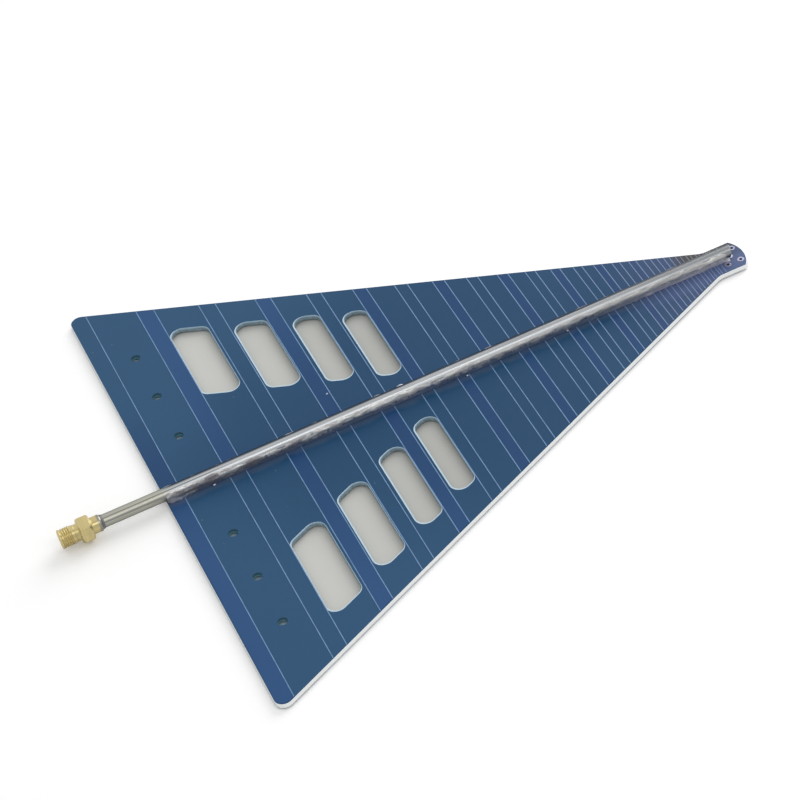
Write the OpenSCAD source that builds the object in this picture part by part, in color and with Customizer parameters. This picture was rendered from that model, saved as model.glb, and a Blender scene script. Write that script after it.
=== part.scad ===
// Log-periodic antenna: a triangular circuit board that carries a rigid coaxial line and its jack.
// Millimetres. X runs from the jack to the tip, Z is up from the board's upper face, and the origin
// lies on the jack's axis in its reference plane, where the mouth's floor meets the insulator.

/* [Board] */
// Length from the rear edge to the point where the slanted edges would meet
board_apex_len = 200; // [170:1:240]
// Width across the rear corners before they are rounded
board_rear_w = 203; // [180:1:230]
// Thickness of the board
board_t = 1.6; // [1:0.1:2.4]
// Radius of the rear corners
rear_corner_r = 3; // [1:0.5:6]
// Width of the straight-sided tongue at the tip
tongue_w = 12.9; // [12:0.1:15]
// Distance from the tongue's end to the point where the slanted edges would meet
tip_setback = 1.4; // [0.6:0.1:2]
// Radius of the tongue's rounded end
tip_end_r = 11; // [8:0.5:20]
// Radius of the fillet between the tongue and the slanted edges
tongue_fillet_r = 6; // [2:0.5:10]

/* [Dipoles] */
// Number of dipoles
dipole_count = 23; // [14:1:23]
// Ratio of each dipole's distance from the series' apex to that of the one before
spacing_ratio = 0.899; // [0.89:0.001:0.91]
// Distance from the series' apex back to the meeting point of the slanted edges
series_lead = 9.1; // [8.5:0.1:12]
// Width of the longest dipole
longest_w = 5.5; // [4:0.1:6.5]
// Ratio of each dipole's width to that of the one before
width_ratio = 0.928; // [0.91:0.001:0.935]
// Thickness of the copper
copper_t = 0.07; // [0.05:0.01:0.1]
// Distance that the copper keeps from the board's edge
copper_edge_gap = 0.3; // [0.2:0.1:0.6]
// Width of the feed strip under the tube
feed_strip_w = 3.8; // [3.7:0.1:5]
// Width of the feed strip's narrow end in the tongue
feed_neck_w = 2.6; // [2:0.1:3]
// Width of the printed lines along the dipoles
line_w = 0.25; // [0.15:0.05:0.3]
// Distance from a dipole's edge to its printed line
line_gap = 0.02; // [0.01:0.01:0.05]
// Thickness of the printed lines
line_t = 0.08; // [0.05:0.01:0.1]

/* [Slots and holes] */
// Widths of the four slots on each side, from the rear
slot_w = [12.3, 10.7, 8.9, 8]; // [7:0.1:12.5]
// Length of the rear slots along their long sides
slot_len = 36.5; // [25:0.5:40]
// Amount by which each slot is shorter than the one behind it
slot_len_step = 0.25; // [0:0.05:1]
// Distance from a slot's outer end to the slanted edge, measured across the board
slot_edge_gap = 12.1; // [8:0.1:16]
// Distances from the slots' front sides to the dipoles in front of them, from the rear
slot_front_gap = [1.1, 0.5, 0.3, 0.3]; // [0.3:0.1:1.2]
// Radius of the slots' corners
slot_corner_r = 3.4; // [1:0.1:3.5]
// Diameter of the bolt holes
hole_d = 3.2; // [2.5:0.1:4.5]
// Bolt holes on each side
hole_count = 3; // [1:1:3]
// Distance from the axis to the first bolt hole
hole_first_y = 25.4; // [20:0.1:30]
// Distance between neighbouring bolt holes
hole_pitch = 21.6; // [15:0.1:24]

/* [Tip] */
// Distance from the feed hole back from the meeting point of the slanted edges
feed_setback = 5.9; // [5.6:0.1:6.1]
// Distance between eyelets along the board
eyelet_pitch_x = 4.5; // [4.2:0.1:4.8]
// Distance between eyelets across the board
eyelet_pitch_y = 6.5; // [6:0.1:7.4]
// Bore of the eyelets
eyelet_bore_d = 1; // [0.6:0.1:1.3]
// Wall of the plated holes
eyelet_wall = 0.15; // [0.1:0.05:0.3]
// Diameter of the eyelets' rings
eyelet_ring_d = 2.2; // [2:0.1:2.8]
// Diameter of the ring round the feed hole
feed_ring_d = 2; // [1.8:0.1:2.2]
// Play of the wire in the feed hole
feed_play = 0.08; // [0.05:0.01:0.15]

/* [Coaxial line] */
// Outer diameter of the tube
tube_d = 4.2; // [3.8:0.1:4.4]
// Diameter of the core inside the tube
core_d = 3.2; // [2.8:0.1:3.4]
// Diameter of the inner wire
wire_d = 0.92; // [0.8:0.02:1]
// Height of the tube over the board
tube_lift = 0.3; // [0.2:0.1:0.8]
// Length of bare tube between the jack's solder and the board
tube_free_len = 20; // [10:0.5:40]
// Angle of the tube's cut end from square
tube_cut_deg = 26; // [0:1:28]
// Distance from the tube's lower lip to the feed hole
tube_end_gap = 1.7; // [1.1:0.1:2.2]
// Radius of the wire's bend
wire_bend_r = 1.1; // [1:0.1:1.2]
// Distance that the core stands back from the wire's bend
core_setback = 0.2; // [0.1:0.1:0.6]

/* [Solder] */
// Width of the solder seam at its foot
seam_foot_w = 3.4; // [3.2:0.1:3.5]
// Width of the solder seam at its top
seam_top_w = 4.5; // [4.3:0.1:4.7]
// Distance from the seam's top down from the tube's middle
seam_top_drop = 0.4; // [0.2:0.1:0.8]
// Radius of the seam's hollow sides
seam_side_r = 3.5; // [2:0.1:8]
// Height of the solder dot on the upper face
dot_h = 0.4; // [0.2:0.1:0.5]
// Height of the solder dot on the underside
lower_dot_h = 0.6; // [0.4:0.1:0.8]
// Distance that the wire stands out below the underside
wire_stub = 0.5; // [0.2:0.1:0.8]
// Length of the solder ring behind the collar
jack_solder_len = 0.7; // [0.5:0.1:2]

/* [Jack] */
// Outer diameter of the thread
thread_d = 6.35; // [6.35:0.01:6.4]
// Pitch of the thread
thread_pitch = 0.7056; // [0.7:0.0001:0.71]
// Depth of the thread
thread_depth = 0.4; // [0.3:0.01:0.43]
// Turns of the thread
thread_turns = 6; // [4:1:6]
// Length of the smooth nose in front of the thread
nose_len = 0.7; // [0.5:0.1:1]
// Chamfer of the nose
nose_chamfer = 0.3; // [0.1:0.05:0.4]
// Length of the barrel, from its front edge to the hexagon
barrel_len = 6.4; // [6:0.1:9]
// Diameter of the relief behind the thread
relief_d = 5.5; // [5.3:0.1:6]
// Width of the hexagon across its flats
hex_af = 8; // [7.9:0.1:9]
// Thickness of the hexagon
hex_t = 4.1; // [2.4:0.1:6]
// Diameter of the hexagon's flat end faces
hex_end_d = 7.2; // [6.8:0.1:7.6]
// Turn of the hexagon about the axis
hex_turn_deg = 48; // [0:1:59]
// Diameter of the rear collar
collar_d = 5.4; // [5.1:0.1:6]
// Length of the rear collar
collar_len = 3.4; // [2:0.1:6]
// Chamfer of the rear collar
collar_chamfer = 0.3; // [0.1:0.1:0.4]
// Diameter of the front counterbore
mouth_d = 4.6; // [4.5:0.05:4.7]
// Depth of the front counterbore
mouth_depth = 1.9; // [1.8:0.05:2]
// Play between the tube and the jack's bore
tube_play = 0.05; // [0.02:0.01:0.1]
// Distance from the insulator's rear face to the collar's end
tube_seat_len = 5.2; // [4:0.1:7]
// Outer diameter of the contact
contact_d = 1.27; // [1.2:0.01:1.4]
// Bore of the contact's fingers
contact_bore_d = 0.94; // [0.9:0.01:1]
// Depth of the contact's front bore
contact_bore_depth = 3; // [2.5:0.1:3.2]
// Width of the slits between the contact's fingers
slit_w = 0.15; // [0.1:0.01:0.2]
// Length of the slits between the contact's fingers
slit_len = 2; // [1:0.1:2.4]
// Length of wire inside the contact
wire_seat_len = 2.2; // [1:0.1:2.4]

/* [Hidden] */
$fn = 96;
eps = 0.01;

// Steps of each arc in the flat outlines
arc_steps = 10;

// Stations along the axis
front_x = -mouth_depth;
hex_x = front_x + barrel_len;
collar_x = hex_x + hex_t;
collar_end = collar_x + collar_len;
seat_x = collar_end - tube_seat_len;
rear_x = collar_end + jack_solder_len + tube_free_len;
apex_x = rear_x + board_apex_len;
tip_x = apex_x - tip_setback;
feed_x = apex_x - feed_setback;

// Heights
top_z = -tube_d / 2 - tube_lift;
under_z = top_z - board_t;

// Slant of the board's edges
slant_tan = board_rear_w / 2 / board_apex_len;
slant = atan(slant_tan);
tongue_half = tongue_w / 2;

// Bores
feed_bore_d = wire_d + 2 * feed_play;
jack_bore_d = tube_d + 2 * tube_play;

// Rear edge of the rear eyelets, where the feed strip becomes narrow
neck_x = feed_x - eyelet_pitch_x / 2 - eyelet_ring_d / 2 - 2 * copper_edge_gap;
seam_x = rear_x + copper_edge_gap;
seam_end = neck_x - copper_edge_gap;

// Distance of dipole k from the meeting point of the slanted edges, counted from 1 at the rear
function dipole_w(k) = longest_w * pow(width_ratio, k - 1);
function dipole_reach(k) =
    (board_apex_len - longest_w / 2 + series_lead) * pow(spacing_ratio, k - 1) - series_lead;

// Side of dipole k on the upper face: its copper is at -Y for the longest and then alternates
function upper_side(k) = k % 2 == 1 ? -1 : 1;

// Distance from the middle of dipole k to the middle of the line along its edge
function line_offset(k) = (dipole_w(k) + line_w) / 2 + line_gap;

// Half the board's width at a distance from the meeting point of its slanted edges
function half_w(reach) = reach * slant_tan;

// Points of an arc about a centre
function arc(centre, r, from_deg, to_deg) = [
    for (i = [0:arc_steps])
        let (a = from_deg + (to_deg - from_deg) * i / arc_steps)
            centre + r * [cos(a), sin(a)]];

// Points on the other side of the axis, in reverse order
function mirrored(points) = [for (i = [len(points) - 1:-1:0]) [points[i].x, -points[i].y]];

// Outward normal of the side from a to b of an outline that runs anticlockwise
function outward(a, b) = [b.y - a.y, a.x - b.x] / norm(b - a);

// Points of a convex outline, which runs anticlockwise, with every corner rounded to radius r
function rounded(points, r) =
    let (n = len(points))
    [for (i = [0:n - 1])
        let (a = points[(i + n - 1) % n], p = points[i], b = points[(i + 1) % n])
        let (before = outward(a, p), after = outward(p, b))
        let (centre = p - r * (before + after) / (1 + before * after))
        let (start = atan2(before.y, before.x), turn = atan2(cross(before, after), before * after))
        each arc(centre, r, start, start + turn)];

// Outline of the board, drawn in by an inset
module outline(inset = 0) {
    end_r = tip_end_r - inset;
    end_deg = asin((tongue_half - inset) / end_r);
    fillet_reach = (tongue_half + tongue_fillet_r - tongue_fillet_r / cos(slant)) / slant_tan;
    fillet_centre = [apex_x - fillet_reach, tongue_half + tongue_fillet_r];
    corner_y = half_w(board_apex_len - rear_corner_r) - rear_corner_r / cos(slant);
    side = concat(
        arc(fillet_centre, tongue_fillet_r + inset, 270, 270 - slant),
        arc([rear_x + rear_corner_r, corner_y], rear_corner_r - inset, 90 - slant, 180));
    polygon(concat(arc([tip_x - tip_end_r, 0], end_r, -end_deg, end_deg), side, mirrored(side)));
}

// Slot i on the +Y side, in the space behind dipole i + 3
module slot(i) {
    front = dipole_reach(i + 3) + dipole_w(i + 3) / 2 + slot_front_gap[i];
    rear = front + slot_w[i];
    span = slot_len - i * slot_len_step;
    outer = function(reach) half_w(reach) - slot_edge_gap;
    polygon(rounded([
        [apex_x - rear, outer(rear) - span],
        [apex_x - front, outer(front) - span],
        [apex_x - front, outer(front)],
        [apex_x - rear, outer(rear)]], slot_corner_r));
}

// All the slots
module slots() {
    for (i = [0:len(slot_w) - 1]) {
        slot(i);
        mirror([0, 1])
            slot(i);
    }
}

// Centres of the bolt holes, in the middle of the space between the two longest dipoles
module at_bolt_holes() {
    front_edge = dipole_reach(1) - dipole_w(1) / 2;
    rear_edge = dipole_reach(2) + dipole_w(2) / 2;
    for (side = [-1, 1], i = [0:hole_count - 1])
        translate([apex_x - (front_edge + rear_edge) / 2, side * (hole_first_y + i * hole_pitch)])
            children();
}

// Centres of the four eyelets round the feed hole
module at_eyelets() {
    for (sx = [-1, 1], sy = [-1, 1])
        translate([feed_x + sx * eyelet_pitch_x / 2, sy * eyelet_pitch_y / 2])
            children();
}

// Half dipoles of one face, before they are cut to the board's outline
module half_dipoles(face_side) {
    for (k = [1:dipole_count])
        translate([apex_x - dipole_reach(k) - dipole_w(k) / 2, 0])
            mirror([0, upper_side(k) * face_side < 0 ? 1 : 0])
                square([dipole_w(k), board_rear_w / 2]);
}

// Copper of one face: the feed strip and its half dipoles
module copper(face_side, strip_end) {
    linear_extrude(copper_t)
        difference() {
            intersection() {
                outline(copper_edge_gap);
                union() {
                    half_dipoles(face_side);
                    translate([rear_x, -feed_strip_w / 2])
                        square([neck_x - rear_x, feed_strip_w]);
                    translate([rear_x, -feed_neck_w / 2])
                        square([strip_end - rear_x, feed_neck_w]);
                }
            }
            slots();
            translate([feed_x, 0])
                circle(d = feed_ring_d);
        }
}

// Profile that is turned about the X axis: points are radius and place along the axis
module turned(points) {
    rotate([0, 90, 0])
        rotate_extrude()
            polygon(points);
}

// Plain rod along the X axis
module rod(from, to, d) {
    translate([from, 0, 0])
        rotate([0, 90, 0])
            cylinder(h = to - from, d = d);
}

// Plated hole with a ring on each face
module plated_hole(bore_d, ring_d) {
    difference() {
        union() {
            translate([0, 0, under_z])
                cylinder(h = board_t, d = bore_d + 2 * eyelet_wall);
            for (z = [under_z - copper_t, top_z])
                translate([0, 0, z])
                    cylinder(h = copper_t, d = ring_d);
        }
        translate([0, 0, under_z - 1])
            cylinder(h = board_t + 2, d = bore_d);
    }
}

// Rounded dot of solder on the plane z = 0, with a hole for the wire
module solder_dot(d, h) {
    sphere_r = (d * d / 4 + h * h) / (2 * h);
    difference() {
        intersection() {
            translate([0, 0, h - sphere_r])
                sphere(sphere_r);
            cylinder(h = h + 1, d = d + 1);
        }
        translate([0, 0, -1])
            cylinder(h = h + 2, d = wire_d);
    }
}

// Glass-fibre board with its slots and holes
module board() {
    color("#34597d")
        translate([0, 0, under_z])
            linear_extrude(board_t)
                difference() {
                    outline();
                    slots();
                    at_bolt_holes()
                        circle(d = hole_d);
                    at_eyelets()
                        circle(d = eyelet_bore_d + 2 * eyelet_wall);
                    translate([feed_x, 0])
                        circle(d = feed_bore_d + 2 * eyelet_wall);
                }
}

// Copper of the upper face, which stops short of the feed hole
module upper_copper() {
    color("#3a5a90")
        translate([0, 0, top_z])
            copper(1, feed_x - feed_ring_d / 2 - copper_edge_gap);
}

// Copper of the underside, which reaches the feed hole's ring
module lower_copper() {
    color("#3a5a90")
        translate([0, 0, under_z - copper_t])
            copper(-1, feed_x);
}

// Printed lines along both edges of every dipole, on both sides of the feed strip
module printed_lines() {
    color("#9dbbd2")
        translate([0, 0, top_z])
            linear_extrude(line_t)
                difference() {
                    intersection() {
                        outline(copper_edge_gap);
                        for (k = [1:dipole_count], edge = [-1, 1])
                            if (k > 1 || edge > 0)
                                translate([apex_x - dipole_reach(k) + edge * line_offset(k), 0])
                                    square([line_w, board_rear_w], center = true);
                    }
                    translate([rear_x, -feed_strip_w / 2])
                        square([board_apex_len, feed_strip_w]);
                    slots();
                }
}

// Plated holes in the tongue and the plated feed hole
module eyelets() {
    color("#b9bccb") {
        at_eyelets()
            plated_hole(eyelet_bore_d, eyelet_ring_d);
        translate([feed_x, 0])
            plated_hole(feed_bore_d, feed_ring_d);
    }
}

// Tinned outer tube of the coaxial line, cut off at a slant at the tip
module coax_tube() {
    lip_x = feed_x - tube_end_gap;
    color("#a3a4a0")
        difference() {
            rod(seat_x, lip_x + tube_d, tube_d);
            rod(seat_x - 1, lip_x + tube_d + 1, core_d);
            translate([lip_x, 0, -tube_d / 2])
                rotate([0, tube_cut_deg, 0])
                    translate([0, -tube_d, -tube_d])
                        cube([3 * tube_d, 2 * tube_d, 4 * tube_d]);
        }
}

// Plastic core between the tube and the inner wire
module coax_core() {
    color("#f2efe6")
        difference() {
            rod(seat_x, feed_x - wire_bend_r - core_setback, core_d);
            rod(seat_x - 1, feed_x, wire_d);
        }
}

// Inner wire, from the jack's contact to the tip, where it turns down through the board
module centre_conductor() {
    color("#c9b98c") {
        rod(seat_x - wire_seat_len, feed_x - wire_bend_r, wire_d);
        translate([feed_x - wire_bend_r, 0, -wire_bend_r])
            rotate([90, 0, 0])
                rotate_extrude(angle = 90)
                    translate([wire_bend_r, 0])
                        circle(d = wire_d);
        translate([feed_x, 0, under_z - copper_t - wire_stub])
            cylinder(h = -wire_bend_r - under_z + copper_t + wire_stub, d = wire_d);
    }
}

// Solder along both sides of the tube and in the gap below it
module solder_seam() {
    foot = [seam_foot_w / 2, top_z + copper_t];
    brim = [seam_top_w / 2, -seam_top_drop];
    middle = (foot + brim) / 2;
    reach = sqrt(seam_side_r * seam_side_r - pow(norm(foot - brim) / 2, 2));
    side_centre = middle + reach * outward(foot, brim);
    color("#8d8b8c")
        translate([seam_x, 0, 0])
            rotate([90, 0, 90])
                linear_extrude(seam_end - seam_x)
                    difference() {
                        polygon([[-foot.x, foot.y], foot, brim, [-brim.x, brim.y]]);
                        circle(d = tube_d);
                        for (side = [-1, 1])
                            translate([side * side_centre.x, side_centre.y])
                                circle(seam_side_r);
                    }
}

// Solder dots that hold the wire in the feed hole, above and below the board
module feed_joint() {
    color("#c6c8cc") {
        translate([feed_x, 0, top_z + copper_t])
            solder_dot(feed_ring_d - 0.2, dot_h);
        translate([feed_x, 0, under_z - copper_t])
            mirror([0, 0, 1])
                solder_dot(feed_ring_d - 0.1, lower_dot_h);
    }
}

// Outline of the thread, turn by turn
function thread_points() =
    let (r = thread_d / 2, root = r - thread_depth, crest = thread_pitch / 4, floor_w = thread_pitch / 8)
    let (flank = (thread_pitch - crest - floor_w) / 2)
    [for (i = [0:thread_turns - 1]) let (x = front_x + nose_len + i * thread_pitch) each [
        [r, x],
        [root, x + flank],
        [root, x + flank + floor_w],
        [r, x + 2 * flank + floor_w]]];

// Brass body of the jack: threaded barrel, hexagon and rear collar in one turned piece
module jack_body() {
    thread_r = thread_d / 2;
    thread_end = front_x + nose_len + thread_turns * thread_pitch;
    corner_r = hex_af / 2 / cos(30);
    end_r = hex_end_d / 2;
    hex_chamfer = (corner_r - end_r) * tan(40);
    color("#c9ab62")
        difference() {
            union() {
                turned(concat(
                    [[0, front_x], [thread_r - nose_chamfer, front_x], [thread_r, front_x + nose_chamfer]],
                    thread_points(),
                    [[thread_r, thread_end],
                    [relief_d / 2, thread_end + thread_r - relief_d / 2],
                    [relief_d / 2, hex_x + eps],
                    [0, hex_x + eps]]));
                rotate([hex_turn_deg, 0, 0])
                    intersection() {
                        translate([hex_x, 0, 0])
                            rotate([0, 90, 0])
                                cylinder(h = hex_t, r = corner_r, $fn = 6);
                        turned([
                            [0, hex_x],
                            [end_r, hex_x],
                            [corner_r, hex_x + hex_chamfer],
                            [corner_r, collar_x - hex_chamfer],
                            [end_r, collar_x],
                            [0, collar_x]]);
                    }
                turned([
                    [0, collar_x - eps],
                    [collar_d / 2, collar_x - eps],
                    [collar_d / 2, collar_end - collar_chamfer],
                    [collar_d / 2 - collar_chamfer, collar_end],
                    [0, collar_end]]);
            }
            rod(front_x - 1, 0, mouth_d);
            rod(front_x, collar_end + 1, jack_bore_d);
        }
}

// Plastic bead between the jack's body and its contact
module jack_insulator() {
    color("#f2efe6")
        difference() {
            rod(0, seat_x, jack_bore_d);
            rod(-1, seat_x + 1, contact_d);
        }
}

// Slotted socket in the middle of the jack, with the wire in its rear end
module jack_contact() {
    color("#d4b25a")
        difference() {
            rod(0, seat_x, contact_d);
            rod(-1, contact_bore_depth, contact_bore_d);
            rod(seat_x - wire_seat_len, seat_x + 1, wire_d);
            for (turn = [0, 90])
                rotate([turn, 0, 0])
                    translate([-1, -contact_d, -slit_w / 2])
                        cube([slit_len + 1, 2 * contact_d, slit_w]);
        }
}

// Solder ring between the collar and the tube
module jack_solder() {
    rim_r = collar_d / 2 - collar_chamfer;
    color("#8d8b88")
        turned([
            [tube_d / 2, collar_end],
            [rim_r, collar_end],
            [(rim_r + tube_d / 2) / 2, collar_end + jack_solder_len * 0.6],
            [tube_d / 2 + 0.05, collar_end + jack_solder_len],
            [tube_d / 2, collar_end + jack_solder_len]]);
}

board();
upper_copper();
lower_copper();
printed_lines();
eyelets();
coax_tube();
coax_core();
centre_conductor();
solder_seam();
feed_joint();
jack_body();
jack_insulator();
jack_contact();
jack_solder();
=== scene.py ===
"""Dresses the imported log-periodic antenna with its metalwork, finishes and studio stage."""
import math

import bmesh
import bpy
from bpy.props import FloatProperty, FloatVectorProperty, PointerProperty
from mathutils import Matrix, Vector, noise


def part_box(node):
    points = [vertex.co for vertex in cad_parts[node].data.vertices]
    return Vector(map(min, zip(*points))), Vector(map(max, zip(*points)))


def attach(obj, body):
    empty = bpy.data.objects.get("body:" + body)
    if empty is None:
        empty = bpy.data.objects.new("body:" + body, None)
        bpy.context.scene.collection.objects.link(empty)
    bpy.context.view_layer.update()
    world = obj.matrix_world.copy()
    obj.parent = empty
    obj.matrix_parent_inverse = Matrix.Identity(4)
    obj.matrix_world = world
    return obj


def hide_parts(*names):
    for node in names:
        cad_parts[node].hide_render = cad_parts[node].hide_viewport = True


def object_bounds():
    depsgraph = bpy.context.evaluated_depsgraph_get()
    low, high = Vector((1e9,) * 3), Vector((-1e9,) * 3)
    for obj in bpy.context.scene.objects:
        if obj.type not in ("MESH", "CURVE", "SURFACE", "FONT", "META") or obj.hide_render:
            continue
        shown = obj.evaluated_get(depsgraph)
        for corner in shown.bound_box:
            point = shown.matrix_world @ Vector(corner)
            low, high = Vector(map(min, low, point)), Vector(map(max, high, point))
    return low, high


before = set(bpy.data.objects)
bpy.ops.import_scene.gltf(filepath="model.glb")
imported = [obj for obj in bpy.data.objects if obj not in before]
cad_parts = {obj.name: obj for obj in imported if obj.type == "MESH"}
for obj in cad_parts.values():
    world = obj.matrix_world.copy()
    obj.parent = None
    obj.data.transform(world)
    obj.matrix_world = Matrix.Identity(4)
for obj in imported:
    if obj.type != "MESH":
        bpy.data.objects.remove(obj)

bl_info = {
    "name": "Log-Periodic Antenna Dressing",
    "version": (1, 0, 0),
    "blender": (4, 5, 0),
    "location": "3D View > Sidebar > Antenna",
    "description": "Adds the tube, solder, jack, slot edges, finishes and stage to the packed antenna",
    "category": "Object",
}

# A millimetre, and the distance under which points count as one
MM = 0.001
CLOSE = 1e-6

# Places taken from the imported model
CAD_BOX = [Vector(corner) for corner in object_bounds()]
BOARD_LOW, BOARD_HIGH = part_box("board")
TUBE_LOW, TUBE_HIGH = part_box("coax_tube")
SEAM_LOW, SEAM_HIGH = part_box("solder_seam")
JACK_LOW, JACK_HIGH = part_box("jack_body")
COPPER_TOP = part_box("upper_copper")[1].z
TUBE_R = TUBE_HIGH.z
TIP_SETBACK = 1.4 * MM
APEX_X = BOARD_HIGH.x + TIP_SETBACK
SEAM_GROWTH = 3.4 * MM
SEAM_END = SEAM_HIGH.x + SEAM_GROWTH

# Measures of the board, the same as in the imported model
BOARD_LENGTH = 200 * MM
BOARD_WIDTH = 203 * MM
EDGE_SLOPE = BOARD_WIDTH / 2 / BOARD_LENGTH
SERIES_LEAD = 9.1 * MM
SPACING_RATIO = 0.899
LONGEST_WIDTH = 5.5 * MM
WIDTH_RATIO = 0.928
FIRST_REACH = BOARD_LENGTH - LONGEST_WIDTH / 2 + SERIES_LEAD
SLOT_SETBACKS = (1.1 * MM, 0.5 * MM, 0.3 * MM, 0.3 * MM)
SLOT_WIDTHS = (12.3 * MM, 10.7 * MM, 8.9 * MM, 8 * MM)
SLOT_SPAN = 36.5 * MM
SLOT_TAPER = 0.25 * MM
SLOT_MARGIN = 12.1 * MM
SLOT_RADIUS = 3.4 * MM
CORNER_STEPS = 8

# The jack's thread, which fades over some steps at each end to a least share of its depth
THREAD_TURNS = 6
STEPS_PER_TURN = 72
FADE_STEPS = 24
LEAST_DEPTH = 0.05

# The slots' lining: thickness, height of its slope, and the rim's height, shift and least width
LINING = 0.1 * MM
RIM_STEP = 0.1 * MM
RIM_PROUD = 0.02 * MM
RIM_SHIFT = 0.85
LEAST_RIM = 0.02 * MM

# Lamps and floor, in metres
LAMP_TARGET = (0.12, 0, 0)
KEY_PLACE, KEY_SIZE = (1.27, 0.8, 0.8), (1.2, 1.2)
FILL_PLACE, FILL_SIZE = (0.37, -0.93, 1.28), (1.2, 0.5)
FLOOR_X, FLOOR_SIZE = 0.1, 6


def display(red, green, blue):
    """Scene colour of a display colour given in steps of 0 to 255."""
    return tuple(
        c / 12.92 if c <= 0.04045 else ((c + 0.055) / 1.055) ** 2.4
        for c in (red / 255, green / 255, blue / 255)
    )


def length(name, description, default):
    """A length property, written here in millimetres."""
    return FloatProperty(
        name=name, description=description, default=default * MM, min=0, precision=5, unit="LENGTH"
    )


def tint(name, description, default):
    """A colour property, written here as a display colour."""
    return FloatVectorProperty(
        name=name, description=description, default=display(*default), min=0, max=1, size=3,
        subtype="COLOR",
    )


class AntennaSizes(bpy.types.PropertyGroup):
    """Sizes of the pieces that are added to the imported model."""

    tube_wall: length("Tube wall", "Wall of the outer tube", 0.5)
    tube_cut: FloatProperty(
        name="Tube cut", description="Slant of the cut at the tube's end", default=math.radians(12),
        subtype="ANGLE",
    )
    tube_ripple: length("Tube ripple", "Unevenness of the tinning on the tube", 0.05)
    seam_foot: length("Solder foot", "Half the width of the solder on the board", 1.65)
    seam_lump: length("Solder lumps", "Height of the lumps along the solder", 0.3)
    rim_width: length("Slot rim", "Width of the bare rim round each slot", 0.22)
    rim_lip: length("Slot lip", "How far the milled edge stands into the slot", 0.1)
    barrel: length("Barrel", "Length of the jack's threaded barrel", 6.4)
    nose: length("Nose", "Length of the smooth nose in front of the thread", 0.7)
    pitch: length("Thread pitch", "Pitch of the jack's thread", 0.7056)
    depth: length("Thread depth", "Depth of the jack's thread", 0.3)
    crest: length("Thread radius", "Radius of the thread's crests", 3.175)
    relief: length("Relief radius", "Radius of the groove behind the thread", 2.75)
    mouth: length("Mouth radius", "Radius of the jack's mouth", 2.3)
    bore: length("Bore radius", "Radius of the bore behind the mouth", 2.15)
    collar: length("Collar radius", "Radius of the collar behind the hexagon", 2.7)
    hexagon: length("Hexagon", "Thickness of the jack's hexagon", 4.1)
    flats: length("Flats", "Width of the hexagon across its flats", 8)
    hexagon_face: length("Hexagon face", "Radius of the flat ends of the hexagon", 3.6)
    hexagon_turn: FloatProperty(
        name="Hexagon turn", description="Turn of the hexagon about the axis", default=math.radians(48),
        subtype="ANGLE",
    )


class AntennaColours(bpy.types.PropertyGroup):
    """Colours of the finishes."""

    coat: tint("Coat on laminate", "Blue coat where no copper lies under it", (3, 61, 98))
    # Painted sheen: the coat's lighter, greyer tone towards the sides of the board.
    coat_sheen: tint("Haze on laminate", "The same coat towards the sides of the board", (31, 75, 111))
    stripe: tint("Coat on copper", "Blue coat over the copper stripes", (3, 57, 103))
    # Painted sheen on the coat over the copper, as above.
    stripe_sheen: tint("Haze on copper", "The same coat towards the sides of the board", (31, 74, 121))
    tip: tint("Coat at the tip", "The same coat where solder fumes have dulled it", (74, 86, 122))
    # Painted shade: the dark walls of the bolt holes.
    shaded_hole_wall: tint("Hole wall", "Wall of the bolt holes", (66, 102, 116))
    # The rim and the wall are one glass fibre: the lighter rim is a painted highlight on its upward
    # faces, and the wall is painted darker low down as shade.
    rim: tint("Slot rim", "Bare glass fibre on the rim of the slots", (190, 210, 223))
    wall: tint("Slot wall", "Bare glass fibre in the slots", (162, 190, 206))
    milled: tint("Milled edge", "Bare glass fibre at the cut edges", (240, 243, 242))
    line: tint("Printed line", "Pale lines along the dipoles", (116, 153, 194))
    line_tip: tint("Printed line at the tip", "The same lines where they are dulled", (118, 134, 170))
    tin: tint("Tin", "Plating of the eyelets", (156, 158, 180))
    tube: tint("Tinned tube", "Outer tube of the coaxial line", (184, 187, 190))
    # Painted reflection of the board on the tube's flanks.
    tube_side_reflection: tint("Tube side", "Flanks of the tube, which mirror the board", (36, 44, 56))
    bare: tint("Bare tube", "Outer tube where it stands free", (180, 179, 167))
    solder: tint("Solder", "Dull solder along the tube", (212, 212, 210))
    # The solder's foot: painted shade and a painted reflection of the blue board, painted lighter near
    # the tip.
    shaded_foot_rear: tint("Solder foot, rear", "Foot of the solder at the rear", (110, 118, 134))
    foot: tint("Solder foot", "Foot of the solder along the board", (98, 116, 146))
    lit_foot_tip: tint("Solder foot, tip", "Foot of the solder near the tip", (212, 208, 212))
    drop: tint("Solder drop", "Drops of solder beside the tube", (170, 176, 190))
    flux: tint("Flux", "Brown film that the solder leaves", (96, 88, 96))
    # Partly dried flux, partly painted light that lifts the shade beside the tube.
    flux_and_painted_light: tint("Flux on the coat", "Dried flux beside the tube", (86, 100, 122))
    # A darker brown patch on the coat beside the tube's end.
    brown_patch: tint("Scorched coat", "Coat browned by flux beside the tube's end", (66, 63, 60))
    brass: tint("Brass", "Jack body", (202, 186, 134))
    gilt: tint("Gilt", "Contact of the jack", (214, 176, 92))
    plastic: tint("White plastic", "Core and bead", (236, 234, 226))
    wire: tint("Wire", "Inner wire", (198, 190, 170))
    floor: tint("Floor", "Floor round the object", (250, 250, 250))
    # Grey paper under the board: partly the table's tone, partly painted shade; in the holes it is
    # painted shade.
    paper: tint("Paper", "Floor seen through the slots", (202, 202, 197))
    hole_paper_shade: tint("Paper in holes", "Floor seen through the bolt holes", (168, 188, 198))


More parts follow.
